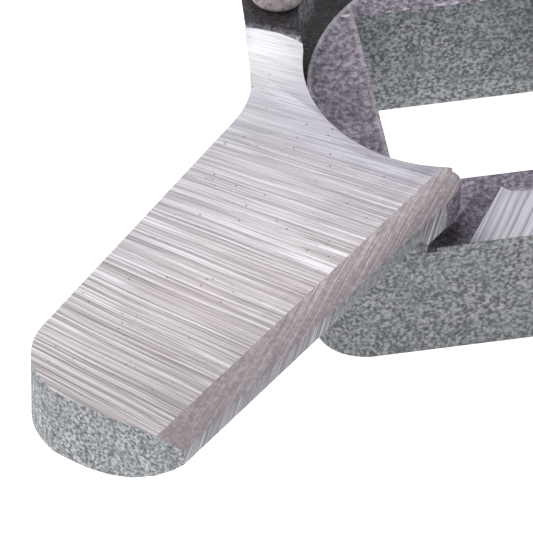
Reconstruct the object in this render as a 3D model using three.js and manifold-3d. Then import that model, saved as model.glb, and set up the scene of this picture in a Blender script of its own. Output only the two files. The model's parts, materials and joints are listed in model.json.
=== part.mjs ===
// Compact bolt cutters, drawn with the jaws open and the handles spread. Millimetres, +Z up, lying flat on z = 0.
// The jaws point along -X and the handles along +X. The tool is two alike halves: the lower half's jaw lies under
// the upper half's at the main pivot, and the second half is the first one turned over about the long axis.
import * as THREE from "three";
import { mergeVertices } from "three/addons/utils/BufferGeometryUtils.js";
import Module from "manifold-3d";

const wasm = await Module();
wasm.setup();

// ---- Driving dimensions -------------------------------------------------------------------------------------
const GAP = 0.3; // between pieces that touch
const REACH = 300; // overall handle length, from the jaw-to-handle pivot to the end of the grip
const OPENING = 34; // degrees between the cutting edges, jaws open
const MID_Z = 12.1; // height of the cutting edges and of the joint plane

const EDGE_LENGTH = 31.3; // cutting edge, heel to tip
const HEEL_REACH = 30; // main pivot to heel, along the cutting line
const BLADE_WIDTH = 14.5; // at the tip
const BLADE_TOP = 13.3;
const BLADE_BOTTOM = 7.6; // under the back of the paddle
const LAP_THICK = 3.3; // blade over its frame
const BEVEL_WIDTH = 2.2;
const BEVEL_DROP = 0.3;
const STRIP_HEIGHT = 1.2; // upright ground strip below the cutting edge
const WEDGE_RUN = 7.5; // width over which the blade's underside falls to its full depth
const EDGE_CLEAR = 0.08; // each cutting edge stands back this far from the line where the two meet
const THROAT_RADIUS = 9.65;

const ARM_ANGLE = 43; // degrees from the cutting line to the frame's arms
const FRAME_TOP = 9.2;
const NEAR_ARM = 6.6; // widths of the frame's arms round its window
const BRIDGE = 6.3;
const WINDOW_WIDE = 15.1;
const WINDOW_DEEP = 16.5;
const HEEL_TO_FRONT = 1.9; // how far the near arm's outer wall stands out past the heel
const LEDGE_TOP = 5.8; // low shelf that carries the blade's neck
const PAD_RISE = 0.5; // ground bearing pads on the near arm
const GROOVE_DEEP = 0.9; // recess round the neck's pin

const PLATE_BOTTOM = 4; // underside of the flat joint plates
const PIVOT_BOSS = 10.5;
const PIVOT_PIN = 5;
const LINK_PIN = 3.5;
const TAIL = 26; // main pivot to jaw-to-handle pivot
const EYE = (TAIL * 15) / 52; // radius of the tail and handle-head eyes
const CRANK = (TAIL * 9) / 13; // jaw-to-handle pivot to centre pivot
const TAIL_ANGLE = 20 + OPENING / 2; // degrees from the cutting line to the tail, jaws shut

const TUBE = 8.5;
const TUBE_WALL = 1.5;
const TUBE_START = 26; // from the jaw-to-handle pivot
const SPIGOT = 34; // length of the head's spigot in the tube
const GRIP = TUBE + 3.6;
const GRIP_LENGTH = 118;
const COLLAR_LENGTH = 12;

const BOLT_LOW = 0.9; // underside of the pivot bolts' heads
const WASHER = 1.2;
const NUT = 4.2;
const SCREW_HEAD_LOW = 0.8; // cap screw's head, sunk in the frame's underside
const SCREW_HEAD_TOP = 3.1;
const DOWEL_LOW = 5;
const BELOW = -1; // cuts start below and end above every piece
const ABOVE = 30;

const rad = THREE.MathUtils.degToRad;
const PLATE_TOP = MID_Z - GAP / 2;
const UPPER_TOP = 2 * MID_Z - PLATE_BOTTOM;
const HALF_OPEN = OPENING / 2;
const PIVOT = new THREE.Vector2(HEEL_REACH * Math.cos(rad(ARM_ANGLE)), HEEL_REACH * Math.sin(rad(ARM_ANGLE)));
const crankAngle = (tail) => Math.asin((TAIL / CRANK) * Math.sin(rad(tail)));
const CRANK_SHUT = crankAngle(TAIL_ANGLE);
const HANDLE_SWING = CRANK_SHUT - crankAngle(TAIL_ANGLE - HALF_OPEN); // radians, each handle
const TAIL_END = new THREE.Vector2(TAIL, 0).rotateAround(new THREE.Vector2(), rad(TAIL_ANGLE));
const CENTRE_PIN = new THREE.Vector2(CRANK * Math.cos(CRANK_SHUT), -CRANK * Math.sin(CRANK_SHUT));
const LINK_OPEN = new THREE.Vector2(TAIL, 0).rotateAround(new THREE.Vector2(), rad(TAIL_ANGLE - HALF_OPEN));
const CENTRE_OPEN = LINK_OPEN.x + CRANK * Math.cos(crankAngle(TAIL_ANGLE - HALF_OPEN));

// ---- Finishes -----------------------------------------------------------------------------------------------
const finish = (color, roughness, metalness) => new THREE.MeshStandardMaterial({ color, roughness, metalness });
const FINISH = {
  ground: finish(0xc4bec4, 0.35, 0.9),
  forged: finish(0x5a525c, 0.5, 0.6),
  plated: finish(0x9a9c9e, 0.3, 0.9),
  painted: finish(0x2f3336, 0.4, 0.3),
  rubber: finish(0x8e2a22, 0.8, 0),
  black: finish(0x1c1d1f, 0.7, 0),
};

// ---- Solids -------------------------------------------------------------------------------------------------
function solid(geometry) {
  geometry.deleteAttribute("normal");
  geometry.deleteAttribute("uv");
  const g = mergeVertices(geometry, 1e-4);
  return new wasm.Manifold(
    new wasm.Mesh({
      numProp: 3,
      vertProperties: g.attributes.position.array,
      triVerts: new Uint32Array(g.index.array),
    }),
  );
}

function mesh(name, body, material) {
  const m = body.getMesh();
  const g = new THREE.BufferGeometry();
  g.setAttribute("position", new THREE.BufferAttribute(m.vertProperties, 3));
  g.setIndex(new THREE.BufferAttribute(m.triVerts, 1));
  g.computeVertexNormals();
  const made = new THREE.Mesh(g, material);
  made.name = name;
  return made;
}

function prism(shape, low, high, curveSegments = 8) {
  const g = new THREE.ExtrudeGeometry(shape, { depth: high - low, bevelEnabled: false, curveSegments });
  return solid(g.translate(0, 0, low));
}

function disc(radius, low, high, x = 0, y = 0, sides = 28) {
  const g = new THREE.CylinderGeometry(radius, radius, high - low, sides);
  return solid(g.rotateX(Math.PI / 2).translate(x, y, (low + high) / 2));
}

// A turned piece along X: a list of [distance along X, radius] from one end of the axis to the other.
function turned(profile, sides = 24) {
  const g = new THREE.LatheGeometry(profile.map(([x, r]) => new THREE.Vector2(r, x)), sides);
  return solid(g.rotateZ(-Math.PI / 2));
}

function slab(x0, x1, y0, y1, z0, z1) {
  const g = new THREE.BoxGeometry(x1 - x0, y1 - y0, z1 - z0);
  return solid(g.translate((x0 + x1) / 2, (y0 + y1) / 2, (z0 + z1) / 2));
}

// The outline round two circles of one radius: a bar with round ends.
function bar(a, b, radius) {
  const angle = Math.atan2(b.y - a.y, b.x - a.x);
  const shape = new THREE.Shape();
  shape.absarc(a.x, a.y, radius, angle + Math.PI / 2, angle + 1.5 * Math.PI, false);
  shape.absarc(b.x, b.y, radius, angle - Math.PI / 2, angle + Math.PI / 2, false);
  return shape;
}

const polygon = (points) => new THREE.Shape(points.map(([x, y]) => new THREE.Vector2(x, y)));

// ---- The blade: cutting edge along X with the heel at the origin, its width along +Y ------------------------
const THROAT = new THREE.Vector2(8.9, 7.7); // centre of the hollow that goes round the frame's bridge
const NECK_END = new THREE.Vector2(8, 21.9);
const NECK_HALF = 2.7;
const NECK_PIN = new THREE.Vector2(7.6, 21.4);
const BLADE_SCREW = new THREE.Vector2(-3.6, 7.2);
const BLADE_DOWEL = new THREE.Vector2(-2.6, 3);
const NECK_DRAFT = 10; // degrees
// The curve of the blade's underside, as shares of its run and its fall.
const BELLY = [[0.13, 0.26], [0.31, 0.54], [0.53, 0.78], [0.76, 0.93]];
const NECK_PIN_R = 1.1;
const NECK_SPACER_R = 1.85;
const STRIP_AT_HEEL = 2.25; // height of the ground strip at the heel
const NECK_HEAD_R = 1.9;
const SCREW_R = 1.25;
const SCREW_HEAD_R = 2.1;
const DOWEL_R = 1;

function bladeOutline() {
  const s = new THREE.Shape();
  const tip = -EDGE_LENGTH;
  s.moveTo(tip + 0.3, EDGE_CLEAR);
  s.lineTo(-1.9, EDGE_CLEAR);
  s.quadraticCurveTo(0.9, 0.1, 0.62, 1.5);
  const start = Math.atan2(1.5 - THROAT.y, 0.62 - THROAT.x);
  s.absarc(THROAT.x, THROAT.y, THROAT_RADIUS + 0.4, start, rad(121) - 2 * Math.PI, true);
  const along = rad(90 - ARM_ANGLE);
  s.lineTo(7.5, 19.6);
  s.absarc(NECK_END.x, NECK_END.y, NECK_HALF, along - Math.PI / 2, along + Math.PI / 2, false);
  s.lineTo(0.4, 18.3);
  s.quadraticCurveTo(-1.6, 16.2, -4.5, 16);
  s.lineTo(tip + 3.5, BLADE_WIDTH);
  s.quadraticCurveTo(tip + 0.2, BLADE_WIDTH - 0.5, tip - 0.7, BLADE_WIDTH - 4.3);
  s.quadraticCurveTo(tip - 0.7, BLADE_WIDTH / 2, tip + 0.3, EDGE_CLEAR);
  return s;
}

function blade() {
  const edge = BLADE_TOP - BEVEL_DROP;
  const strip = edge - STRIP_HEIGHT;
  const far = 40;
  const section = polygon([
    [-far, strip],
    [0, strip],
    ...BELLY.map(([across, down]) => [WEDGE_RUN * across, strip - (strip - BLADE_BOTTOM) * down]),
    [WEDGE_RUN, BLADE_BOTTOM],
    [far, BLADE_BOTTOM],
    [far, BLADE_TOP],
    [BEVEL_WIDTH, BLADE_TOP],
    [0, edge],
    [-far, edge],
  ]);
  const long = new THREE.ExtrudeGeometry(section, { depth: 2 * far + EDGE_LENGTH, bevelEnabled: false });
  // The section's own x and y stand for Y and Z, swept along X.
  long.applyMatrix4(new THREE.Matrix4().set(0, 0, 1, -far - EDGE_LENGTH, 1, 0, 0, 0, 0, 1, 0, 0, 0, 0, 0, 1));
  const lapUnder = BLADE_TOP - LAP_THICK;
  let body = prism(bladeOutline(), 0, BLADE_TOP + 1, 12).intersect(solid(long));
  body = body.subtract(slab(-8.6, far, -far, far, 0, lapUnder));
  // The strip is deeper at the heel, where the blade lies on its frame.
  const deepBottom = edge - STRIP_AT_HEEL;
  const deepSide = polygon([[-5.6, edge], [-4, deepBottom], [3, deepBottom], [3, edge]]);
  const deep = new THREE.ExtrudeGeometry(deepSide, { depth: 4, bevelEnabled: false });
  deep.rotateX(Math.PI / 2).translate(0, 3, 0);
  body = body.add(prism(bladeOutline(), deepBottom, edge - 0.1, 12).intersect(solid(deep)));
  // The recess round the neck's pin, beyond the ground face, and the draft on the neck's outer wall.
  const groundEnd = [[2.2, 22.6], [3, 21], [3.6, 20], [4.1, 18.6], [4.25, 17.6], [4.3, 15.5]];
  const recess = polygon([...groundEnd, [14, 16], [14, 28], [2, 28]]);
  body = body.subtract(prism(recess, BLADE_TOP - GROOVE_DEEP, BLADE_TOP + 1));
  const draft = slab(2.4, 30, 0, 6, -12, 0.001).rotate([-NECK_DRAFT, 0, 0]);
  body = body.subtract(draft.rotate([0, 0, 90 - ARM_ANGLE - 4]).translate([-1.5, 16.5, BLADE_TOP]));
  body = body.subtract(disc(NECK_PIN_R + GAP, 0, 20, NECK_PIN.x, NECK_PIN.y, 20));
  body = body.subtract(disc(SCREW_R + GAP, 0, lapUnder + 2, BLADE_SCREW.x, BLADE_SCREW.y, 20));
  return body.subtract(disc(DOWEL_R + GAP, 0, lapUnder + 1.6, BLADE_DOWEL.x, BLADE_DOWEL.y, 20));
}

function bladePin() {
  const shank = disc(NECK_PIN_R, 0.4, BLADE_TOP - 0.5, 0, 0, 24);
  const head = turned([[0, 0], [0, NECK_HEAD_R], [0.3, NECK_HEAD_R], [0.6, 1.3], [0.6, 0]], 24);
  const top = head.rotate([0, -90, 0]).translate([0, 0, BLADE_TOP - 0.6]);
  return shank.add(top);
}

function bladeScrew() {
  const head = disc(SCREW_HEAD_R, SCREW_HEAD_LOW, SCREW_HEAD_TOP, 0, 0, 24).subtract(disc(1.1, 0, 2, 0, 0, 6));
  return head.add(disc(SCREW_R, SCREW_HEAD_TOP - 0.1, BLADE_TOP - LAP_THICK + 1.7, 0, 0, 20));
}

// ---- The jaw frame: arms along X, heel at the origin --------------------------------------------------------
const toFrame = (p) => p.clone().rotateAround(new THREE.Vector2(), rad(ARM_ANGLE));

function frameOutline() {
  const front = -HEEL_TO_FRONT;
  const windowLeft = -3.7;
  const left = windowLeft - BRIDGE;
  const corner = 3.3;
  const rim = { x: 4.2, y: 13.1, r: 12.4 };
  const s = new THREE.Shape();
  s.moveTo(left + corner, front);
  s.lineTo(windowLeft + WINDOW_WIDE, front);
  s.lineTo(windowLeft + WINDOW_WIDE + 2.5, front + 1.2);
  s.absarc(PIVOT.x, PIVOT.y, PIVOT_BOSS, rad(-38), Math.PI / 2, false);
  s.lineTo(rim.x, rim.y + rim.r);
  s.absarc(rim.x, rim.y, rim.r, Math.PI / 2, rad(176), false);
  s.lineTo(left, front + corner);
  s.quadraticCurveTo(left + 0.4, front + 0.4, left + corner, front);
  const w = new THREE.Path();
  const near = front + NEAR_ARM;
  w.moveTo(windowLeft, near);
  w.lineTo(windowLeft, near + WINDOW_DEEP);
  w.lineTo(windowLeft + WINDOW_WIDE - 2, near + WINDOW_DEEP);
  w.lineTo(windowLeft + WINDOW_WIDE, near + WINDOW_DEEP - 2);
  w.lineTo(windowLeft + WINDOW_WIDE, near);
  return { outer: s, window: new THREE.Shape(w.getPoints()) };
}

function jawFrame() {
  const tail = toFrame(TAIL_END).add(PIVOT);
  const pin = toFrame(NECK_PIN);
  const ledge = polygon([[-9, 8], [-10.2, 14.7], [-10.3, 21.7], [-7.5, 26], [-6.5, 28], [4.2, 28], [4.2, 20]]);
  const heelPad = polygon([[-9, -0.4], [-7.5, -1.9], [-2.9, -1.9], [-1.35, 1.2], [-3, 3.6], [-8, 3.8]]);
  const matePad = polygon([[0, -1.9], [3.1, 3], [3.6, 2.5], [4.6, 2.3], [12, 2.3], [12, -1.9]]);
  const shoulder = polygon([[-2.2, -1.9], [-1.5, -0.7], [0.81, 2.1], [1.6, 3.4], [3.3, 3.4], [0.3, -1.9]]);
  const { outer, window } = frameOutline();
  let body = prism(outer, 0, FRAME_TOP, 10);
  body = body.add(prism(ledge, 0, LEDGE_TOP));
  body = body.add(disc(NECK_SPACER_R, LEDGE_TOP - 1, BLADE_TOP - LAP_THICK - GAP, pin.x, pin.y, 24));
  body = body.add(prism(heelPad, FRAME_TOP - 1, FRAME_TOP + PAD_RISE));
  body = body.add(prism(matePad, FRAME_TOP - 1, FRAME_TOP + PAD_RISE));
  body = body.add(prism(shoulder, FRAME_TOP - 1, FRAME_TOP + PAD_RISE * 0.8));
  body = body.subtract(prism(window, -1, FRAME_TOP + 2));
  body = body.subtract(disc(PIVOT_BOSS + 2.5, -1, PLATE_BOTTOM, PIVOT.x, PIVOT.y));
  body = body.add(disc(PIVOT_BOSS, PLATE_BOTTOM, PLATE_TOP, PIVOT.x, PIVOT.y));
  body = body.add(prism(bar(PIVOT, tail, EYE), PLATE_BOTTOM, PLATE_TOP));
  body = body.subtract(disc(PIVOT_PIN + GAP, BELOW, ABOVE, PIVOT.x, PIVOT.y));
  body = body.subtract(disc(LINK_PIN + GAP, BELOW, ABOVE, tail.x, tail.y, 24));
  body = body.subtract(disc(NECK_PIN_R + GAP, BELOW, ABOVE, pin.x, pin.y, 24));
  const screw = toFrame(BLADE_SCREW);
  const dowel = toFrame(BLADE_DOWEL);
  body = body.subtract(disc(SCREW_R + GAP, BELOW, ABOVE, screw.x, screw.y, 20));
  body = body.subtract(disc(SCREW_HEAD_R + GAP, BELOW, SCREW_HEAD_TOP + GAP, screw.x, screw.y, 24));
  return body.subtract(disc(DOWEL_R + GAP, DOWEL_LOW, ABOVE, dowel.x, dowel.y, 20));
}

// ---- The handle, jaws shut: jaw-to-handle pivot at the origin, tube along +X --------------------------------
const BLOCK_START = TUBE + 0.8;
const BLOCK_HALF = TUBE - 1; // the handle head's block, just inside the tube's width
const STOP_AT = 21;
const STOP_THREAD = 2.5;

function handleHead() {
  const low = MID_Z + GAP / 2;
  const root = new THREE.Vector2(BLOCK_START + 4, 0);
  let body = prism(bar(new THREE.Vector2(), CENTRE_PIN, EYE), low, UPPER_TOP);
  body = body.add(prism(bar(new THREE.Vector2(), root, EYE), low, UPPER_TOP));
  body = body.add(prism(bar(CENTRE_PIN, new THREE.Vector2(BLOCK_START + 6, -1), 4), low, UPPER_TOP));
  body = body.add(slab(BLOCK_START, TUBE_START - GAP, -BLOCK_HALF, BLOCK_HALF, PLATE_BOTTOM, UPPER_TOP));
  const spigot = TUBE - TUBE_WALL - GAP;
  const spigotStart = BLOCK_START + 2.7;
  const spigotEnd = TUBE_START + SPIGOT;
  body = body.add(turned([[spigotStart, 0], [spigotStart, spigot], [spigotEnd, spigot], [spigotEnd, 0]])
    .translate([0, 0, MID_Z]));
  body = body.subtract(disc(EYE + GAP, -1, low, CENTRE_PIN.x, CENTRE_PIN.y)); // room for the other head's eye
  body = body.subtract(disc(LINK_PIN + GAP, BELOW, ABOVE, 0, 0, 24));
  body = body.subtract(disc(LINK_PIN + 2 * GAP, BELOW, ABOVE, CENTRE_PIN.x, CENTRE_PIN.y, 24));
  const threadHole = STOP_THREAD + GAP;
  const bore = turned([[-1, 0], [-1, threadHole], [9, threadHole], [9, 0]], 20).rotate([0, 0, 90]);
  body = body.subtract(bore.translate([STOP_AT, -BLOCK_HALF, MID_Z]));
  for (const x of RIVETS) body = body.subtract(disc(RIVET_R + GAP, BELOW, ABOVE, x, 0, 20));
  return body;
}

const RIVETS = [TUBE_START + 9, TUBE_START + 25];
const RIVET_R = 1.8;

function tube() {
  const end = REACH - 4;
  const profile = [[TUBE_START, TUBE - TUBE_WALL], [TUBE_START, TUBE], [end, TUBE], [end, TUBE - TUBE_WALL]];
  let body = turned([...profile, profile[0]]);
  for (const x of RIVETS) body = body.subtract(disc(RIVET_R + GAP, -30, 30, x, 0, 20));
  return body;
}

function rivet() {
  const half = TUBE + GAP;
  const dome = [[-half - 1.4, 0], [-half - 1.1, 2], [-half, 3.2], [-half, RIVET_R]];
  const other = dome.map(([x, r]) => [-x, r]).reverse();
  return turned([...dome, ...other], 20).rotate([0, 90, 0]);
}

function collar() {
  const inner = TUBE + GAP;
  const start = REACH - GRIP_LENGTH - COLLAR_LENGTH - GAP;
  const end = start + COLLAR_LENGTH;
  return turned([[start, inner], [start, inner + 0.8], [start + 2, GRIP - 0.6], [end, GRIP - 0.3], [end, inner],
    [start, inner]]);
}

function grip() {
  const inner = TUBE + GAP;
  const start = REACH - GRIP_LENGTH;
  const end = REACH;
  const profile = [[start, inner], [start, GRIP - 0.8], [start + 1.5, GRIP], [start + 8, GRIP]];
  profile.push([start + 12, GRIP - 1.6]);
  for (let i = 0; i <= 8; i += 1) {
    const t = i / 8;
    profile.push([start + 14 + t * (GRIP_LENGTH - 30), GRIP - 1.6 + 0.9 * Math.sin(Math.PI * t)]);
  }
  profile.push([end - 12, GRIP], [end - 2, GRIP], [end, GRIP - 1.8], [end, 0]);
  profile.push([end - 3.5, 0], [end - 3.5, inner]);
  return turned([...profile, profile[0]]);
}

function tubePlug() {
  const r = TUBE - TUBE_WALL - GAP;
  const end = REACH - 4;
  return turned([[end - 12, 0], [end - 12, r - 0.8], [end - 11, r], [end, r], [end, 0]]);
}

// Stop bolt: head towards the other handle, thread into the block's bore.
function stopBolt(reach) {
  const under = reach / 2;
  const head = turned([[under, 0], [under, 4], [reach - 0.6, 4], [reach, 3.2], [reach, 0]], 6);
  const shank = [[-7.5, 0], [-7.5, STOP_THREAD], [under + 1, STOP_THREAD], [under + 1, 0]];
  return head.add(turned(shank, 20)).rotate([0, 0, -90]);
}

function stopNut(reach) {
  return hexDisc(4.4, GAP, reach * 0.3, STOP_THREAD + GAP).rotate([90, 0, 0]);
}

// ---- Pivot hardware, along Z -------------------------------------------------------------------------------
function hexDisc(radius, low, high, bore) {
  const body = disc(radius, low, high, 0, 0, 6);
  return bore ? body.subtract(disc(bore, low - 1, high + 1, 0, 0, 28)) : body;
}

function pivotSet(name, pin, head) {
  const washerLow = UPPER_TOP + GAP;
  const nutLow = washerLow + WASHER + GAP;
  const nutHigh = nutLow + NUT;
  const boltHead = disc(head, BOLT_LOW, PLATE_BOTTOM - GAP, 0, 0, 28);
  const bolt = boltHead.add(disc(pin, PLATE_BOTTOM - 1, nutHigh + 1, 0, 0, 24))
    .subtract(disc(pin * 0.6, 0, 2.4, 0, 0, 6));
  const washer = disc(head + 0.6, washerLow, washerLow + WASHER, 0, 0, 28)
    .subtract(disc(pin + GAP, 0, 40, 0, 0, 24));
  return [
    mesh(name + "_bolt", bolt, FINISH.plated),
    mesh(name + "_washer", washer, FINISH.plated),
    mesh(name + "_nut", hexDisc(head, nutLow, nutHigh, pin + GAP), FINISH.plated),
  ];
}

// ---- Assembly -----------------------------------------------------------------------------------------------
function jaw(side) {
  const group = new THREE.Group();
  const heel = new THREE.Group();
  heel.position.x = -HEEL_REACH;
  const frame = mesh(side + "_jaw_frame", jawFrame(), FINISH.forged);
  frame.rotation.z = -rad(ARM_ANGLE);
  const pin = mesh(side + "_neck_pin", bladePin(), FINISH.ground);
  const screw = mesh(side + "_blade_screw", bladeScrew(), FINISH.plated);
  const dowelSolid = disc(DOWEL_R, DOWEL_LOW + GAP, BLADE_TOP - LAP_THICK + 1.3, 0, 0, 20);
  const dowel = mesh(side + "_blade_dowel", dowelSolid, FINISH.plated);
  pin.position.set(NECK_PIN.x, NECK_PIN.y, 0);
  screw.position.set(BLADE_SCREW.x, BLADE_SCREW.y, 0);
  dowel.position.set(BLADE_DOWEL.x, BLADE_DOWEL.y, 0);
  heel.add(frame, mesh(side + "_blade", blade(), FINISH.ground), pin, screw, dowel);
  group.add(heel);
  group.rotation.z = -rad(HALF_OPEN);
  return group;
}

function handle(side) {
  const group = new THREE.Group();
  group.position.set(LINK_OPEN.x, LINK_OPEN.y, 0);
  group.rotation.z = HANDLE_SWING;
  group.add(mesh(side + "_handle_head", handleHead(), FINISH.forged));
  for (const [piece, body, material] of [
    ["handle_tube", tube(), FINISH.painted],
    ["grip_collar", collar(), FINISH.black],
    ["grip", grip(), FINISH.rubber],
    ["tube_plug", tubePlug(), FINISH.black],
  ]) {
    const made = mesh(side + "_" + piece, body, material);
    made.position.z = MID_Z;
    group.add(made);
  }
  RIVETS.forEach((x, i) => {
    const made = mesh(side + "_tube_rivet_" + (i + 1), rivet(), FINISH.plated);
    made.position.set(x, 0, MID_Z);
    group.add(made);
  });
  const shutHalf = TAIL_END.y - BLOCK_HALF - GAP / 2;
  const bolt = mesh(side + "_stop_bolt", stopBolt(shutHalf), FINISH.plated);
  const nut = mesh(side + "_stop_nut", stopNut(shutHalf), FINISH.plated);
  for (const m of [bolt, nut]) {
    m.position.set(STOP_AT, -BLOCK_HALF, MID_Z);
    group.add(m);
  }
  return group;
}

function half(side) {
  const group = new THREE.Group();
  group.add(jaw(side), handle(side));
  return group;
}

const tool = new THREE.Group();
const upper = half("upper");
upper.rotation.x = Math.PI;
upper.position.z = 2 * MID_Z;
tool.add(half("lower"), upper);
const places = [
  ["main_pivot", PIVOT_PIN, 7.4, 0, 0],
  ["lower_link", LINK_PIN, 5.4, LINK_OPEN.x, LINK_OPEN.y],
  ["upper_link", LINK_PIN, 5.4, LINK_OPEN.x, -LINK_OPEN.y],
  ["centre_pivot", LINK_PIN, 5.4, CENTRE_OPEN, 0],
];
for (const [name, pin, head, x, y] of places) {
  for (const piece of pivotSet(name, pin, head)) {
    piece.position.set(x, y, 0);
    tool.add(piece);
  }
}

// The origin is under the middle of the whole tool.
tool.updateMatrixWorld(true);
const box = new THREE.Box3().setFromObject(tool, true);
tool.position.set(-(box.min.x + box.max.x) / 2, -(box.min.y + box.max.y) / 2, -box.min.z);

const boltCutters = new THREE.Group();
boltCutters.add(tool);
export default boltCutters;
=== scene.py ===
"""A pair of compact bolt cutters: ground paddle blades on dark forged jaw frames, with linked handles."""
import json
from math import atan2, cos, pi, radians, sin

import bmesh
import bpy
from mathutils import Matrix, Vector

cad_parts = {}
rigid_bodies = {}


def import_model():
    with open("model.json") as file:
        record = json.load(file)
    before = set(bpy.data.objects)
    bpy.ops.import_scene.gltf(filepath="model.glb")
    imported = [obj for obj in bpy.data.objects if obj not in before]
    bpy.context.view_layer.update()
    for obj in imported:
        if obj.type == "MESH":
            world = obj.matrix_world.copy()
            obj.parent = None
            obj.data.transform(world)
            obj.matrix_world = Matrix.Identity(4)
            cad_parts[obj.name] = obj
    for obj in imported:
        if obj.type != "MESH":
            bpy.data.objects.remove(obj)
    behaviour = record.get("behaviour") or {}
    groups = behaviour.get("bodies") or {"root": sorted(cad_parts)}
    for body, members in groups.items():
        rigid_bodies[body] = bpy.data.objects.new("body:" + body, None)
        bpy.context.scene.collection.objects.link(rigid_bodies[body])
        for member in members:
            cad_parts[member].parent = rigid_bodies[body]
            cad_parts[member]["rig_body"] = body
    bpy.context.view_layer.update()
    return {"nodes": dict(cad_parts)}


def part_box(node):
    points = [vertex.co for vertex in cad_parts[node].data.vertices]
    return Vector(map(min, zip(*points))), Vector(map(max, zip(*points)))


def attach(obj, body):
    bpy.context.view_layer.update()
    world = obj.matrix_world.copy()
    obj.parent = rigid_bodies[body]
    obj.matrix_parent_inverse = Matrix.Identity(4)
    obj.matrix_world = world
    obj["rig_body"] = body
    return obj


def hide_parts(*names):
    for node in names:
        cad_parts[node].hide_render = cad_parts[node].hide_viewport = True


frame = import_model()
NODES = frame["nodes"]

# ---- Places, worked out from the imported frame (metres) and the tool's own angles -------------------------
MM = 0.001
SIDES = ("lower", "upper")
OPENING = radians(34)
ARM_ANGLE = radians(43)
HEEL_REACH = 30  # main pivot to heel, along the cutting line, in millimetres


def middle(node):
    low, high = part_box(node)
    return (low + high) / 2


MAIN_PIVOT = middle("main_pivot_bolt")
BLADE_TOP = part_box("lower_blade")[1].z
MID_Z = (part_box("lower_handle_head")[0].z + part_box("lower_handle_head")[1].z) / 2


def turned_over(side):
    """The upper half is the lower half turned over about the long axis at the height of the cutting edges."""
    if side == "lower":
        return Matrix.Identity(4)
    return Matrix.Translation((0, 0, 2 * MID_Z)) @ Matrix.Rotation(pi, 4, "X")


def blade_axes(side):
    """Millimetres with the heel at the origin, the cutting edge along -X and the blade's width along +Y."""
    turn = Matrix.Rotation(-OPENING / 2, 4, "Z")
    heel = Matrix.Translation((MAIN_PIVOT.x, 0, 0)) @ turn @ Matrix.Translation((-HEEL_REACH * MM, 0, 0))
    return turned_over(side) @ heel @ Matrix.Scale(MM, 4)


def frame_axes(side):
    """Millimetres with the heel at the origin and the jaw frame's two arms along +X."""
    return blade_axes(side) @ Matrix.Rotation(-ARM_ANGLE, 4, "Z")


def handle_axes(side):
    """Millimetres with the jaw-to-handle pivot at the origin, on the tube's axis, and the tube along +X."""
    link = middle("lower_link_bolt")
    rivet = middle("lower_tube_rivet_2")
    angle = atan2(rivet.y - link.y, rivet.x - link.x)
    place = Matrix.Translation((link.x, link.y, MID_Z)) @ Matrix.Rotation(angle, 4, "Z")
    return turned_over(side) @ place @ Matrix.Scale(MM, 4)


# ---- Camera, lights and floor ----------------------------------------------------------------------------
VIEW_AZIMUTH = radians(-70)
VIEW_ELEVATION = radians(45)
VIEW_WIDTH = 35.53 * MM
VIEW_TARGET = (-14.4, -5.3)  # the middle of the view, in the lower frame's axes
LENS = 1600  # so long that parallel edges stay nearly parallel
SENSOR = 36


def make_camera():
    data = bpy.data.cameras.new("camera")
    data.lens, data.sensor_width = LENS, SENSOR
    data.clip_start, data.clip_end = 0.01, 20
    camera = bpy.data.objects.new("camera", data)
    bpy.context.scene.collection.objects.link(camera)
    heading = VIEW_AZIMUTH + pi / 2
    level = cos(VIEW_ELEVATION)
    look = Vector((cos(heading) * level, sin(heading) * level, -sin(VIEW_ELEVATION)))
    target = frame_axes("lower") @ Vector((*VIEW_TARGET, BLADE_TOP / MM))
    camera.location = target - look * (VIEW_WIDTH * LENS / SENSOR)
    camera.rotation_euler = look.to_track_quat("-Z", "Y").to_euler()
    bpy.context.scene.camera = camera


def soft_light(name, place, aim, size, watts, colour=(1, 1, 1)):
    data = bpy.data.lights.new(name, "AREA")
    data.shape, data.size, data.energy, data.color = "DISK", size, watts, colour
    lamp = bpy.data.objects.new(name, data)
    bpy.context.scene.collection.objects.link(lamp)
    lamp.location = place
    lamp.rotation_euler = (Vector(aim) - Vector(place)).to_track_quat("-Z", "Y").to_euler()


def make_studio():
    world = bpy.data.worlds.new("studio")
    bpy.context.scene.world = world
    world.use_nodes = True
    world.node_tree.nodes["Background"].inputs["Color"].default_value = (0.95, 0.97, 1, 1)
    world.node_tree.nodes["Background"].inputs["Strength"].default_value = 0.72
    head = (MAIN_PIVOT.x - 0.03, 0, MID_Z)
    soft_light("key", (-0.55, 0.45, 0.6), head, 0.35, 1.2)
    soft_light("rim", (0.5, 0.25, 0.55), head, 0.3, 1.5)
    bpy.context.scene.view_settings.view_transform = "Standard"


def make_floor():
    bpy.ops.object.select_all(action="DESELECT")
    bpy.ops.mesh.primitive_plane_add(size=6, location=(0, 0, -0.0003))
    floor = bpy.context.object
    floor.name = "floor"
    floor.data.materials.append(pale_floor())


# ---- Shader maths ----------------------------------------------------------------------------------------
class Value:
    """A shader socket that takes part in sums."""

    def __init__(self, paint, socket):
        self.paint, self.socket = paint, socket

    def math(self, operation, *others, **settings):
        return self.paint.node("ShaderNodeMath", {"operation": operation, **settings}, [self, *others])

    def __add__(self, other):
        return self.math("ADD", other)

    def __mul__(self, other):
        return self.math("MULTIPLY", other)

    def __sub__(self, other):
        return self.math("SUBTRACT", other)

    def __rsub__(self, other):
        return self.math("MULTIPLY_ADD", -1, other)

    __radd__, __rmul__ = __add__, __mul__

    def above(self, level, soft):
        """0 below the level and 1 above it, with a soft step."""
        return self.paint.node(
            "ShaderNodeMapRange",
            {"interpolation_type": "SMOOTHSTEP"},
            {"Value": self, "From Min": level - soft, "From Max": level + soft},
        )


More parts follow.
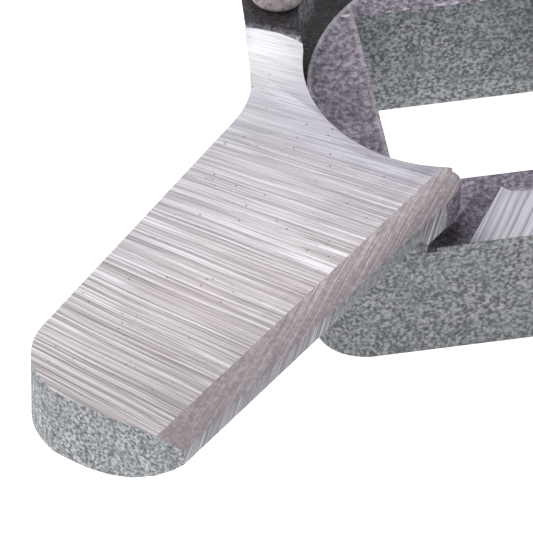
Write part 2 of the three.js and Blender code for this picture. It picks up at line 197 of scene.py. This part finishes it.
class Paint:
    """A material and its Principled shader, with helpers that add its nodes."""

    def __init__(self, name, metallic=0.0, roughness=0.5, **constants):
        self.material = bpy.data.materials.new(name)
        self.material.use_nodes = True
        self.tree = self.material.node_tree
        self.shader = self.tree.nodes["Principled BSDF"]
        self.set("Metallic", metallic)
        self.set("Roughness", roughness)
        for socket, value in constants.items():
            self.set(socket.replace("_", " "), value)

    def node(self, kind, settings=None, inputs=None, output=0):
        made = self.tree.nodes.new(kind)
        for name, value in (settings or {}).items():
            setattr(made, name, value)
        pairs = inputs.items() if isinstance(inputs, dict) else enumerate(inputs or [])
        for key, value in pairs:
            self.feed(made.inputs[key], value)
        return Value(self, made.outputs[output])

    def feed(self, socket, value):
        if isinstance(value, Value):
            self.tree.links.new(value.socket, socket)
        else:
            socket.default_value = value

    def set(self, socket, value):
        self.feed(self.shader.inputs[socket], value)

    def place(self, axes=None):
        """Object coordinates, in the millimetres of the axes given."""
        matrix = (axes or Matrix.Scale(MM, 4)).inverted()
        turn = matrix.to_euler("XYZ")
        scale = matrix.to_scale()[0]
        raw = self.node("ShaderNodeTexCoord", output="Object")
        settings = {"Location": matrix.to_translation(), "Rotation": turn, "Scale": (scale, scale, scale)}
        return self.node("ShaderNodeMapping", {"vector_type": "POINT"}, {"Vector": raw, **settings})

    def split(self, vector):
        return [self.node("ShaderNodeSeparateXYZ", None, [vector], i) for i in range(3)]

    def joined(self, x, y, z=0.0):
        return self.node("ShaderNodeCombineXYZ", None, [x, y, z])

    def noise(self, vector, scale=1.0, detail=4.0, rough=0.6):
        inputs = {"Vector": vector, "Scale": scale, "Detail": detail, "Roughness": rough}
        return self.node("ShaderNodeTexNoise", {"noise_dimensions": "3D"}, inputs)

    def spots(self, vector, scale, size):
        """1 inside small round spots, 0 elsewhere."""
        cells = self.node("ShaderNodeTexVoronoi", {"feature": "F1"}, {"Vector": vector, "Scale": scale})
        return 1 - cells.above(size, size * 0.5)

    def ramp(self, value, *stops):
        """Stops are (position, colour) pairs."""
        made = self.tree.nodes.new("ShaderNodeValToRGB")
        elements = made.color_ramp.elements
        while len(elements) < len(stops):
            elements.new(0.5)
        for element, (position, colour) in zip(elements, stops):
            element.position, element.color = position, (*colour, 1)
        self.feed(made.inputs[0], value)
        return Value(self, made.outputs[0])

    def mix(self, factor, a, b, blend="MIX"):
        made = self.tree.nodes.new("ShaderNodeMix")
        made.data_type, made.blend_type = "RGBA", blend
        for socket, value in zip((made.inputs[0], made.inputs[6], made.inputs[7]), (factor, a, b)):
            self.feed(socket, (*value, 1) if isinstance(value, tuple) else value)
        return Value(self, made.outputs[2])

    def bump(self, height, strength, distance=0.0002):
        inputs = {"Height": height, "Strength": strength, "Distance": distance}
        self.set("Normal", self.node("ShaderNodeBump", None, inputs))


def streaks(paint, across, along, fine):
    """Grinding marks drawn out along one direction: soft bands, hair lines, and light and dark scratches."""
    bands = paint.noise(paint.joined(across * 1.1, along * 0.03), 1.0, 2.0, 0.6)
    hair = paint.noise(paint.joined(across * fine, along * 0.05), 1.0, 2.5, 0.7)
    scratch = paint.noise(paint.joined(across * fine * 0.9, along * 0.07, 7.0), 1.0, 0.6, 0.5)
    light = scratch.above(0.62, 0.03)
    dark = 1 - scratch.above(0.375, 0.03)
    return bands, hair, light, dark


def ground_steel(paint, marks, tones, strength=1.0):
    """Ground steel's colour out of its marks: three tones, with scratches laid over."""
    bands, hair, light, dark = marks
    low, middle_tone, high = tones
    steel = paint.ramp(bands * 0.12 + hair * 0.88, (0.38, low), (0.5, middle_tone), (0.62, high))
    steel = paint.mix(light * (0.55 * strength), steel, tuple(min(0.95, c * 1.4) for c in high))
    return paint.mix(dark * (0.45 * strength), steel, tuple(c * 0.6 for c in low))


# ---- Materials: steel ------------------------------------------------------------------------------------
GROUND = ((0.33, 0.285, 0.295), (0.50, 0.443, 0.458), (0.70, 0.66, 0.675))
STRIP = ((0.10, 0.092, 0.108), (0.19, 0.175, 0.20), (0.36, 0.34, 0.38))
BRIGHT = ((0.50, 0.48, 0.54), (0.80, 0.77, 0.85), (1.0, 0.99, 1.0))


def ground_face(side):
    """The blade's flat face: fine marks that fan out across it, a painted highlight on the neck, with dark
    pits.
    """
    paint = Paint(side + "_ground_face", metallic=0.3, roughness=0.42)
    place = paint.place(blade_axes(side))
    x, y, _ = paint.split(place)
    fan_x, fan_y, fan_r = -31.0, 122.0, 115.0  # the marks' common centre, and how far off it the face lies
    dx, dy = x - fan_x, fan_y - y
    angle = dx.math("ARCTAN2", dy) * fan_r
    reach = (dx * dx + dy * dy).math("SQRT")
    marks = streaks(paint, angle + paint.noise(place, 0.12, 1.0) * 0.3, reach, 6.2)
    steel = ground_steel(paint, marks, GROUND)
    # Painted highlight: the curving neck is washed towards white where its face would catch the light.
    neck = (x * 0.68 + y * 0.73).above(11.6, 6.5)
    steel = paint.mix(neck * 0.85, steel, (1.0, 1.0, 1.0))
    heel = x.above(-3.5, 6.0) * (1 - neck)
    steel = paint.mix(heel * 0.68, steel, (0.32, 0.29, 0.35))
    cool = (x + y).above(-2.0, 12.0)
    steel = paint.mix(cool * 0.2, steel, (0.55, 0.57, 0.66))
    pits = paint.spots(place, 1.7, 0.1) * paint.noise(place, 0.5).above(0.52, 0.04)
    steel = paint.mix(pits * 0.75, steel, (0.12, 0.09, 0.1))
    paint.set("Base Color", steel)
    paint.set("Roughness", 0.38 + marks[0] * 0.1)
    paint.bump(marks[1] * 0.6 + marks[2] * 0.5 - marks[3] * 0.5 - pits * 0.8, 0.3)
    return paint.material


def straight_ground(name, axes, angle, tones, fine, mottle=0.0):
    """A face ground in one direction, at an angle from its own X axis, mottled where it is worn."""
    paint = Paint(name, metallic=0.3, roughness=0.42)
    place = paint.place(axes)
    x, y, _ = paint.split(place)
    along = x * cos(angle) + y * sin(angle)
    across = x * -sin(angle) + y * cos(angle)
    marks = streaks(paint, across + paint.noise(place, 0.2, 1.0) * 0.3, along, fine)
    steel = ground_steel(paint, marks, tones, 0.35 if mottle else 1.0)
    if mottle:
        patches = paint.noise(place, 2.6, 5.0, 0.75)
        steel = paint.mix(patches.above(0.54, 0.08) * mottle, steel, tuple(c * 0.72 for c in tones[1]))
        steel = paint.mix((1 - patches.above(0.44, 0.08)) * mottle, steel, tuple(c * 1.35 for c in tones[2]))
    paint.set("Base Color", steel)
    paint.bump(marks[1] + marks[2] * 0.5 - marks[3] * 0.5, 0.3)
    return paint.material


def edge_strip(side):
    """The strip below the cutting edge: ground near the tip and the heel, mostly blasted between."""
    axes = blade_axes(side)
    paint = Paint(side + "_edge_strip", metallic=0.3, roughness=0.5)
    place = paint.place(axes)
    x, _, z = paint.split(place)
    angle = radians(62)
    across = x * -sin(angle) + z * cos(angle)
    marks = streaks(paint, across, x * cos(angle) + z * sin(angle), 5.0)
    ground = ground_steel(paint, marks, STRIP)
    grain = paint.noise(place, 3.4, 5.0, 0.72)
    deep, mean, pale = (0.09, 0.1, 0.105), (0.19, 0.2, 0.205), (0.31, 0.31, 0.33)
    rough = paint.ramp(grain, (0.34, deep), (0.5, mean), (0.68, pale))
    patches = paint.noise(paint.joined(x * 0.8, z * 0.1), 1.0, 2.0).above(0.52, 0.05)
    bare = x.above(-14.5, 1.5) * (1 - x.above(-4.6, 0.5)) * (1 - patches * (1 - x.above(-9.5, 1.0)) * 0.8)
    paint.set("Base Color", paint.mix(bare, ground, rough))
    paint.set("Roughness", 0.42 + bare * 0.28)
    paint.bump(grain * 0.5 + marks[1] * 0.5, 0.35)
    return paint.material


def blasted(name, tone, axes):
    """Shot-blasted steel: grey with a cool cast, covered in fine dark and light specks."""
    paint = Paint(name, metallic=0.15, roughness=0.72)
    place = paint.place(axes)
    cloud = paint.noise(place, 0.45, 3.0, 0.55)
    grain = paint.noise(place, 3.9, 2.0, 0.6)
    cool = tuple(tone * c for c in (0.96, 0.985, 1.02))
    dark = tuple(tone * c for c in (0.33, 0.35, 0.38))
    light = tuple(min(1, tone * c) for c in (1.75, 1.75, 1.84))
    steel = paint.ramp(grain, (0.37, dark), (0.5, cool), (0.64, light))
    steel = paint.mix(cloud.above(0.52, 0.16) * 0.3, steel, tuple(tone * c for c in (0.72, 0.84, 0.8)))
    specks = paint.spots(place, 2.0, 0.22) * paint.noise(place, 1.1).above(0.5, 0.06)
    steel = paint.mix(specks * 0.55, steel, dark)
    paint.set("Base Color", steel)
    paint.bump(grain - specks * 0.5, 0.55)
    return paint.material


def forged_top(side):
    """The frame's rough-forged top: dark and slightly purple, speckled, with paler worn edges by the window
    and a painted highlight along the bridge's rim.
    """
    paint = Paint(side + "_forged_top", metallic=0.25, roughness=0.5)
    place = paint.place(frame_axes(side))
    x, y, _ = paint.split(place)
    grain = paint.noise(place, 2.9, 2.5, 0.65)
    fine = paint.noise(place, 5.5, 1.5, 0.6)
    deep, mean, pale = (0.07, 0.056, 0.078), (0.205, 0.17, 0.22), (0.40, 0.355, 0.42)
    steel = paint.ramp(grain, (0.34, deep), (0.5, mean), (0.66, pale))
    steel = paint.mix(fine.above(0.62, 0.05) * 0.35, steel, (0.42, 0.38, 0.43))
    cloud = paint.noise(place, 0.5, 3.0)
    steel = paint.mix(cloud.above(0.56, 0.1) * 0.35, steel, (0.085, 0.07, 0.09))
    # Painted highlight: a pale line along the bridge's curved rim, where its edge catches the light.
    rim_x, rim_y, rim_r = 4.2, 13.1, 12.28
    dx, dy = x - rim_x, y - rim_y
    from_rim = ((dx * dx + dy * dy).math("SQRT") - rim_r).math("ABSOLUTE")
    rim = (1 - from_rim.above(0.16, 0.12)) * (1 - x.above(-1.0, 2.0)) * y.above(10.0, 2.0)
    steel = paint.mix(rim * (0.35 + grain * 0.4), steel, (0.52, 0.51, 0.56))
    from_window = (x + 3.85).math("ABSOLUTE")
    worn = (1 - from_window.above(0.13, 0.12)) * fine.above(0.4, 0.1)
    steel = paint.mix(worn * 0.55, steel, (0.5, 0.42, 0.47))
    from_far = (y - 21.4).math("ABSOLUTE")
    glints = (1 - from_far.above(0.12, 0.1)) * paint.noise(place, 1.6, 2.0).above(0.56, 0.03)
    steel = paint.mix(glints * 0.8, steel, (0.75, 0.66, 0.7))
    paint.set("Base Color", steel)
    paint.set("Roughness", 0.38 + cloud * 0.25)
    paint.bump(grain, 0.5)
    return paint.material


def forged_groove(name, axes, tone=1.0, shine=None):
    """The unground hollows beside the ground lands: dark and glossy, with bright glints.

    A shine is a line's point and normal and how far off that line the hollow's curve catches the light."""
    paint = Paint(name, metallic=0.5, roughness=0.3)
    place = paint.place(axes)
    grain = paint.noise(place, 3.0, 5.0, 0.8)
    glints = paint.noise(place, 5.5, 3.0, 0.8).above(0.6, 0.04)
    glints = glints * paint.noise(place, 0.8, 1.0).above(0.45, 0.1)
    deep = tuple(tone * c for c in (0.05, 0.042, 0.055))
    pale = tuple(tone * c for c in (0.27, 0.235, 0.29))
    steel = paint.ramp(grain, (0.38, deep), (0.62, pale))
    steel = paint.mix(glints, steel, (0.9, 0.88, 0.93))
    if shine:
        x, y, _ = paint.split(place)
        at_x, at_y, off_x, off_y, reach, width = shine
        off = (x - at_x) * off_x + (y - at_y) * off_y
        near = 1 - (off - reach).math("ABSOLUTE").above(width, width)
        steel = paint.mix(near * grain.above(0.44, 0.09), steel, (0.9, 0.88, 0.94))
        steel = paint.mix(off.above(reach + 3 * width, 0.25) * 0.75, steel, (0.035, 0.03, 0.028))
    paint.set("Base Color", steel)
    paint.set("Roughness", 0.22 + grain * 0.4)
    paint.bump(grain, 0.9, 0.0004)
    return paint.material


def dull_pin():
    """The neck pins' heads: dull steel with a warm cast."""
    paint = Paint("dull_pin", metallic=0.5, roughness=0.5)
    place = paint.place()
    grain = paint.noise(place, 2.8, 5.0, 0.75)
    paint.set("Base Color", paint.ramp(grain, (0.36, (0.17, 0.145, 0.15)), (0.64, (0.46, 0.40, 0.41))))
    paint.set("Roughness", 0.38 + grain * 0.25)
    paint.bump(grain, 0.35)
    return paint.material


def black_forging():
    """The handle heads: black phosphated forgings with a little wear."""
    tone = 0.045
    paint = Paint("head_forging", metallic=0.4, roughness=0.48)
    place = paint.place()
    grain = paint.noise(place, 2.4, 5.0, 0.7)
    wear = paint.noise(place, 0.35, 4.0).above(0.58, 0.08)
    dark = (tone * 0.6, tone * 0.6, tone * 0.66)
    pale = (tone * 1.7, tone * 1.65, tone * 1.8)
    steel = paint.ramp(grain, (0.36, dark), (0.68, pale))
    paint.set("Base Color", paint.mix(wear * 0.3, steel, (0.17, 0.16, 0.17)))
    paint.set("Roughness", 0.4 + grain * 0.25)
    paint.bump(grain, 0.35)
    return paint.material


def zinc_plate():
    """Bolts, nuts and rivets: bright zinc with faint cloudiness and turning marks."""
    paint = Paint("zinc_plate", metallic=0.85, roughness=0.32)
    place = paint.place()
    cloud = paint.noise(place, 0.6, 4.0)
    grain = paint.noise(place, 6.0, 3.0)
    steel = paint.ramp(cloud, (0.35, (0.50, 0.50, 0.51)), (0.65, (0.74, 0.745, 0.75)))
    paint.set("Base Color", paint.mix(grain.above(0.66, 0.05) * 0.3, steel, (0.3, 0.3, 0.3)))
    paint.set("Roughness", 0.24 + cloud * 0.2)
    paint.bump(grain, 0.15)
    return paint.material


# ---- Materials: handles ----------------------------------------------------------------------------------
def tube_paint():
    """Semi-gloss black paint with orange peel, dust and small chips."""
    paint = Paint("tube_paint", roughness=0.3, Coat_Roughness=0.15)
    paint.set("Coat Weight", 0.35)
    place = paint.place()
    peel = paint.noise(place, 1.2, 2.0)
    dust = paint.noise(place, 0.12, 5.0).above(0.55, 0.12)
    chips = paint.noise(place, 0.55, 5.0, 0.75).above(0.735, 0.012)
    colour = paint.mix(dust * 0.25, (0.016, 0.018, 0.021), (0.07, 0.07, 0.072))
    paint.set("Base Color", paint.mix(chips, colour, (0.34, 0.33, 0.33)))
    paint.set("Roughness", 0.26 + dust * 0.2 + chips * 0.2)
    paint.bump(peel * 0.4 - chips * 0.6, 0.18)
    return paint.material


def grip_rubber():
    """Matt red rubber with a fine moulded grain and handling marks."""
    paint = Paint("grip_rubber", roughness=0.7)
    place = paint.place()
    grain = paint.noise(place, 2.6, 4.0, 0.7)
    grime = paint.noise(place, 0.09, 5.0).above(0.52, 0.14)
    colour = paint.ramp(grain, (0.35, (0.27, 0.022, 0.018)), (0.65, (0.42, 0.045, 0.034)))
    paint.set("Base Color", paint.mix(grime * 0.35, colour, (0.12, 0.02, 0.018)))
    paint.set("Roughness", 0.62 + grime * 0.15)
    paint.bump(grain, 0.4)
    return paint.material


def black_plastic():
    """Moulded black plastic with a spark-eroded texture."""
    paint = Paint("black_plastic", roughness=0.55)
    place = paint.place()
    grain = paint.noise(place, 3.5, 3.0, 0.6)
    paint.set("Base Color", paint.ramp(grain, (0.35, (0.012, 0.012, 0.013)), (0.7, (0.04, 0.04, 0.042))))
    paint.set("Roughness", 0.48 + grain * 0.2)
    paint.bump(grain, 0.35)
    return paint.material


def pale_floor():
    paint = Paint("pale_floor", roughness=0.9)
    cloud = paint.noise(paint.place(), 0.01, 2.0)
    paint.set("Base Color", paint.ramp(cloud, (0.3, (0.9, 0.9, 0.9)), (0.7, (0.93, 0.93, 0.93))))
    paint.set("Emission Color", (1, 1, 1, 1))
    paint.set("Emission Strength", 0.9)
    return paint.material


# ---- Mesh work -------------------------------------------------------------------------------------------
def only(obj):
    bpy.ops.object.select_all(action="DESELECT")
    obj.select_set(True)
    bpy.context.view_layer.objects.active = obj


def own_copy(node, axes):
    """A copy of a CAD node with its corners merged, in the millimetres of the axes given."""
    source = NODES[node]
    piece = bpy.data.objects.new("fine_" + node, source.data.copy())
    bpy.context.scene.collection.objects.link(piece)
    piece.data.transform(axes.inverted())
    piece.data.materials.clear()
    only(piece)
    bpy.ops.object.mode_set(mode="EDIT")
    bpy.ops.mesh.select_all(action="SELECT")
    bpy.ops.mesh.remove_doubles(threshold=0.004)
    bpy.ops.mesh.dissolve_limited(angle_limit=radians(0.8))
    bpy.ops.object.mode_set(mode="OBJECT")
    return piece


def turned_skin(name, profile, around=72):
    """A closed skin turned about X, from (place along X, radius) pairs, with its two ends filled."""
    place, radius = profile[0]
    bpy.ops.object.select_all(action="DESELECT")
    bpy.ops.mesh.primitive_circle_add(vertices=around, radius=radius)
    piece = bpy.context.object
    piece.name = name
    piece.data.transform(Matrix.Translation((place, 0, 0)) @ Matrix.Rotation(pi / 2, 4, "Y"))
    bpy.ops.object.mode_set(mode="EDIT")
    bpy.ops.mesh.select_all(action="SELECT")
    for next_place, next_radius in profile[1:]:
        step = {"value": (next_place - place, 0, 0)}
        bpy.ops.mesh.extrude_region_move(TRANSFORM_OT_translate=step)
        share = next_radius / radius
        bpy.ops.transform.resize(value=(1, share, share), center_override=(next_place, 0, 0))
        place, radius = next_place, next_radius
    bpy.ops.mesh.edge_face_add()
    bpy.ops.mesh.select_all(action="SELECT")
    bpy.ops.mesh.normals_make_consistent(inside=False)
    bpy.ops.object.mode_set(mode="OBJECT")
    return piece


def round_edges(piece, width, segments, sharp=32):
    """Rounds every sharp edge of a piece, in the piece's own units."""
    only(piece)
    bevel = piece.modifiers.new("edges", "BEVEL")
    bevel.width, bevel.segments, bevel.limit_method = width, segments, "ANGLE"
    bevel.angle_limit, bevel.use_clamp_overlap, bevel.miter_outer = radians(sharp), True, "MITER_ARC"
    bpy.ops.object.modifier_apply(modifier="edges")


def round_chosen(piece, width, segments, chosen):
    """Rounds the edges for which chosen(end, other end, [how far its two faces' normals rise]) is true."""
    only(piece)
    mesh = bmesh.new()
    mesh.from_mesh(piece.data)
    layer = mesh.edges.layers.float.new("bevel_weight_edge")
    for edge in mesh.edges:
        rises = [face.normal.z for face in edge.link_faces]
        edge[layer] = 1.0 if len(rises) == 2 and chosen(*(v.co for v in edge.verts), rises) else 0.0
    mesh.to_mesh(piece.data)
    mesh.free()
    bevel = piece.modifiers.new("edges", "BEVEL")
    bevel.width, bevel.segments, bevel.limit_method = width, segments, "WEIGHT"
    bpy.ops.object.modifier_apply(modifier="edges")
    weights = piece.data.attributes.get("bevel_weight_edge")
    if weights:
        piece.data.attributes.remove(weights)


def finished(piece, axes, node, smooth=30):
    """Puts a piece back in metres, smooths it, and lets it ride in its CAD node's place."""
    piece.data.transform(axes)
    only(piece)
    bpy.ops.object.shade_smooth_by_angle(angle=radians(smooth))
    for name in piece.modifiers.keys():
        bpy.ops.object.modifier_apply(modifier=name)
    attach(piece, NODES[node]["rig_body"])
    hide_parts(node)


def assign(piece, materials, chooser):
    """Gives each face the material that chooser(centre, normal) names."""
    names = list(materials)
    for name in names:
        piece.data.materials.append(materials[name])
    for face in piece.data.polygons:
        face.material_index = names.index(chooser(face.center, face.normal))


# ---- Blades and jaw frames -------------------------------------------------------------------------------
UP = 0.9  # a face is level when its normal's height is over this
FRAME_TOP = 9.2
BEVEL_TONES = ((0.30, 0.25, 0.26), (0.335, 0.285, 0.3), (0.385, 0.335, 0.35))
RECESS_SHINE = (3.0, 21.0, 0.935, 0.353, 0.85, 0.22)
HOLLOW_SHINE = (-1.5, -0.7, -0.76, 0.65, 0.1, 0.1)


def make_blade(side):
    axes = blade_axes(side)
    piece = own_copy(side + "_blade", axes)
    top = BLADE_TOP / MM
    materials = {
        "face": ground_face(side),
        "bevel": straight_ground(side + "_ground_bevel", axes, radians(14), BEVEL_TONES, 4.0, mottle=0.5),
        "strip": edge_strip(side),
        "wall": blasted(side + "_blade_wall", 0.27, axes),
        "groove": forged_groove(side + "_recess", axes, 1.3, RECESS_SHINE),
    }

    def chooser(centre, normal):
        if normal.z > UP:
            if centre.y < 2.3 and centre.z < top - 0.05:
                return "bevel"
            return "face" if centre.z > top - 0.3 else "groove"
        if centre.y < 0.4 and centre.x < -2.4:
            return "strip"
        # Painted shade: the heel's side wall takes the dark recess material, dark forging darkened as the
        # shade that falls on that wall.
        if centre.x > -2.7 and centre.y < 4.0 and centre.z > 9.5:
            return "groove"
        # The walls at the top of the neck take the dark recess material: dark oily forging, plus painted
        # shade on walls that face away from the light.
        if centre.z > top - 1.0 and centre.x * 0.68 + centre.y * 0.73 > 14.5:
            return "groove"
        return "wall"

    assign(piece, materials, chooser)
    round_edges(piece, 0.1, 2)
    finished(piece, axes, side + "_blade")


def make_jaw_frame(side):
    axes = frame_axes(side)
    piece = own_copy(side + "_jaw_frame", axes)
    materials = {
        "top": forged_top(side),
        "wall": blasted(side + "_frame_wall", 0.205, axes),
        # The window's inner walls are the same blasted steel as the outer walls, painted paler to stand in
        # for the light they catch.
        "inner": blasted(side + "_window_wall", 0.32, axes),
        "pad": straight_ground(side + "_ground_pad", axes, radians(61), BRIGHT, 4.2),
        # The frame's hollows take a darker tone than the blade's recess: dark forging, darkened further as
        # painted shade in the deep valley and the narrow slot by the heel.
        "groove": forged_groove(side + "_hollow", axes, 0.6, HOLLOW_SHINE),
    }

    def chooser(centre, normal):
        if normal.z > UP:
            if FRAME_TOP + 0.45 < centre.z < FRAME_TOP + 0.7 and centre.y < 6:
                return "pad"
            # Painted shade: the frame's level top right beside the blade's heel takes the dark hollow
            # material, standing in for the heel's shadow.
            shade_beside_heel = centre.z < FRAME_TOP + 0.2 and centre.x < 0.9 and centre.y < 2.6
            return "groove" if centre.z < FRAME_TOP - 0.3 or shade_beside_heel else "top"
        inside = -4.2 < centre.x < 12 and 4.2 < centre.y < 21.7 and abs(normal.z) < 0.5
        return "inner" if inside else "wall"

    assign(piece, materials, chooser)

    def lower_rim(a, b, rises):
        return max(a.z, b.z) < 0.05 and min(rises) < -UP < max(rises)

    def upper_rim(a, b, rises):
        level = abs(a.z - FRAME_TOP) < 0.05 and abs(a.z - b.z) < 0.05
        return level and max(rises) > UP > min(rises) > -0.1

    round_chosen(piece, 0.9, 4, lower_rim)
    round_chosen(piece, 0.35, 3, upper_rim)
    finished(piece, axes, side + "_jaw_frame", 40)


# ---- Handles and hardware --------------------------------------------------------------------------------
def refine(node, width, material, sharp=32):
    """A CAD node's copy with its sharp edges rounded."""
    axes = Matrix.Scale(MM, 4)
    piece = own_copy(node, axes)
    piece.data.materials.append(material)
    round_edges(piece, width, 3, sharp)
    finished(piece, axes, node)


GRIP_START = 182  # from the jaw-to-handle pivot
GRIP_END = 300
GRIP_R = 12.1
BORE_R = 8.8
RIBS = 15
RIB_PITCH = 4.8


def grip_profile():
    """Mouth flange, ribbed waist, and swollen end with its rounded cap."""
    waist, flange = GRIP_R - 1.6, GRIP_START + 12
    points = [(GRIP_START + 3, BORE_R), (GRIP_START, BORE_R), (GRIP_START, GRIP_R - 1.1)]
    points += [(GRIP_START + 0.4, GRIP_R - 0.4), (GRIP_START + 1.3, GRIP_R), (flange - 4.4, GRIP_R)]
    points += [(flange - 3, GRIP_R - 0.35), (flange, waist)]
    first, last = flange + 4, GRIP_END - 16
    for i in range(RIBS):
        start = first + i * RIB_PITCH
        swell = waist + 0.75 * sin(pi * (start - first) / (last - first))
        rib = min(swell + 0.7, GRIP_R)
        points += [(start, swell), (start + 0.7, rib - 0.15), (start + 1.1, rib)]
        points += [(start + 2.5, rib), (start + 2.9, rib - 0.15), (start + 3.6, swell)]
    points += [(GRIP_END - 14, waist), (GRIP_END - 11, GRIP_R - 0.35)]
    points += [(GRIP_END - 9.5, GRIP_R), (GRIP_END - 3.4, GRIP_R)]
    points += [(GRIP_END - 1.6, GRIP_R - 0.4), (GRIP_END - 0.5, GRIP_R - 1.5), (GRIP_END, GRIP_R - 3.2)]
    points += [(GRIP_END, 6), (GRIP_END - 0.7, 5.6), (GRIP_END - 0.7, 0.6)]
    return points


def make_grip(side, rubber):
    piece = turned_skin("fine_" + side + "_grip", grip_profile())
    piece.data.materials.append(rubber)
    finished(piece, handle_axes(side), side + "_grip", 28)


def main():
    make_camera()
    make_studio()
    make_floor()
    zinc, tube, rubber, plastic = zinc_plate(), tube_paint(), grip_rubber(), black_plastic()
    head, dull = black_forging(), dull_pin()
    for side in SIDES:
        make_blade(side)
        make_jaw_frame(side)
        refine(side + "_neck_pin", 0.15, dull)
        refine(side + "_handle_head", 0.8, head)
        refine(side + "_handle_tube", 0.3, tube, sharp=50)
        make_grip(side, rubber)
        refine(side + "_grip_collar", 0.3, plastic, sharp=35)
        refine(side + "_tube_plug", 0.3, plastic)
        for small in ("blade_screw", "blade_dowel", "tube_rivet_1", "tube_rivet_2", "stop_bolt", "stop_nut"):
            refine(side + "_" + small, 0.2, zinc, sharp=25)
    for name in ("main_pivot", "lower_link", "upper_link", "centre_pivot"):
        for part in ("_bolt", "_washer", "_nut"):
            refine(name + part, 0.3, zinc, sharp=35)


main()
